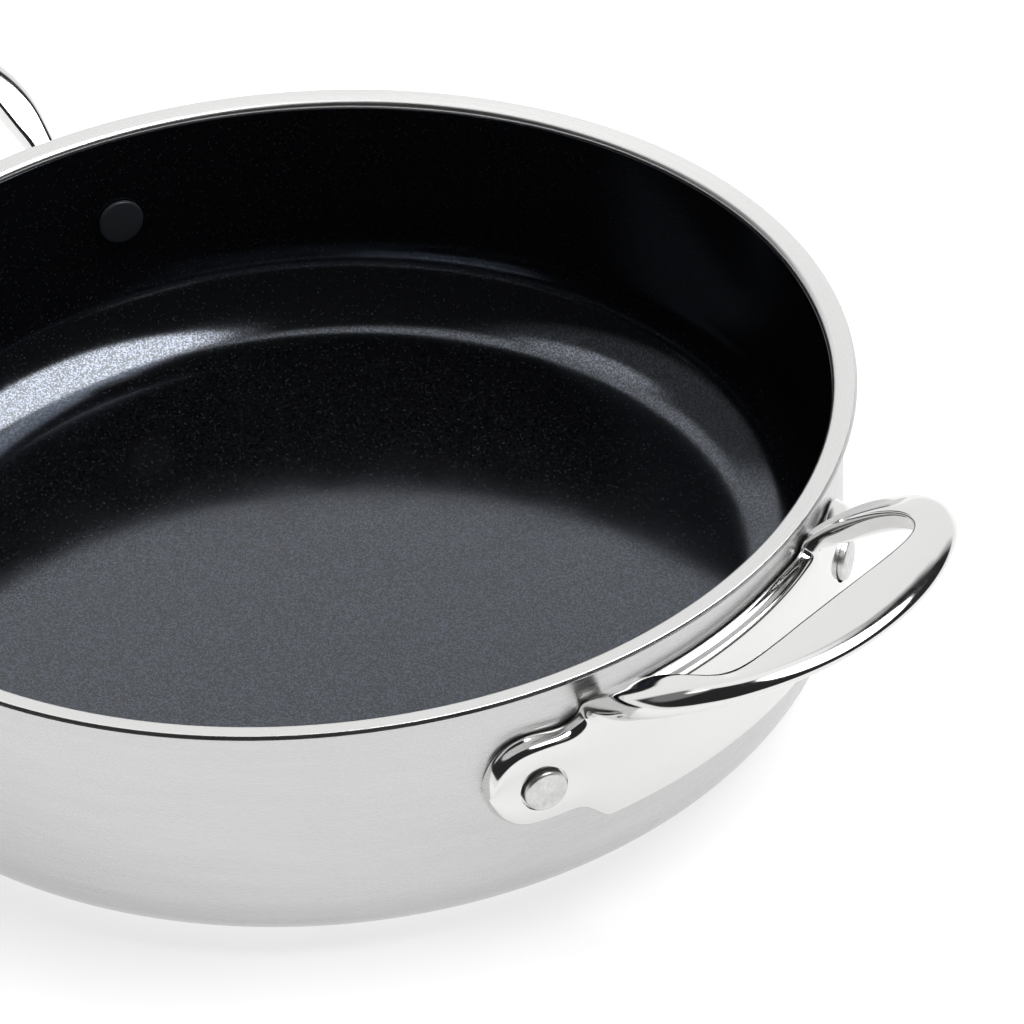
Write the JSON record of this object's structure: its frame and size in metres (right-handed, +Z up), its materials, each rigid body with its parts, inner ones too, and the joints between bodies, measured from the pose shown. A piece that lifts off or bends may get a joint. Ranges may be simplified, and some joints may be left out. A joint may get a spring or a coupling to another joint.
{
  "type": "two-handled casserole pan",
  "caption": "Shallow round stainless steel casserole pan with a rolled pouring lip, dark ceramic-coated inside and riveted cast loop side handles.",
  "frame": {"origin": "on the table under the middle of the base", "axes": "+Z up out of the pan's mouth, +X along the line through both handles"},
  "size_m": [0.3622, 0.2796, 0.0826],
  "materials": {
    "satin_steel": "satin, brushed round the pan",
    "core_aluminium": "as rolled, sealed inside",
    "polished_steel": "bright polished at the lip",
    "dark_ceramic": "semi-gloss with fine metallic speckle",
    "cast_steel": "mirror polished casting",
    "rivet_steel": "satin, heads inside coated dark"
  },
  "bodies": {
    "root": {"outer_steel_skin": "satin_steel", "aluminium_core": "core_aluminium", "inner_steel_skin": "polished_steel", "ceramic_coating": "dark_ceramic", "right_handle": "cast_steel", "right_rivet_1": "rivet_steel", "right_rivet_2": "rivet_steel", "left_handle": "cast_steel", "left_rivet_1": "rivet_steel", "left_rivet_2": "rivet_steel"}
  },
  "joints": []
}
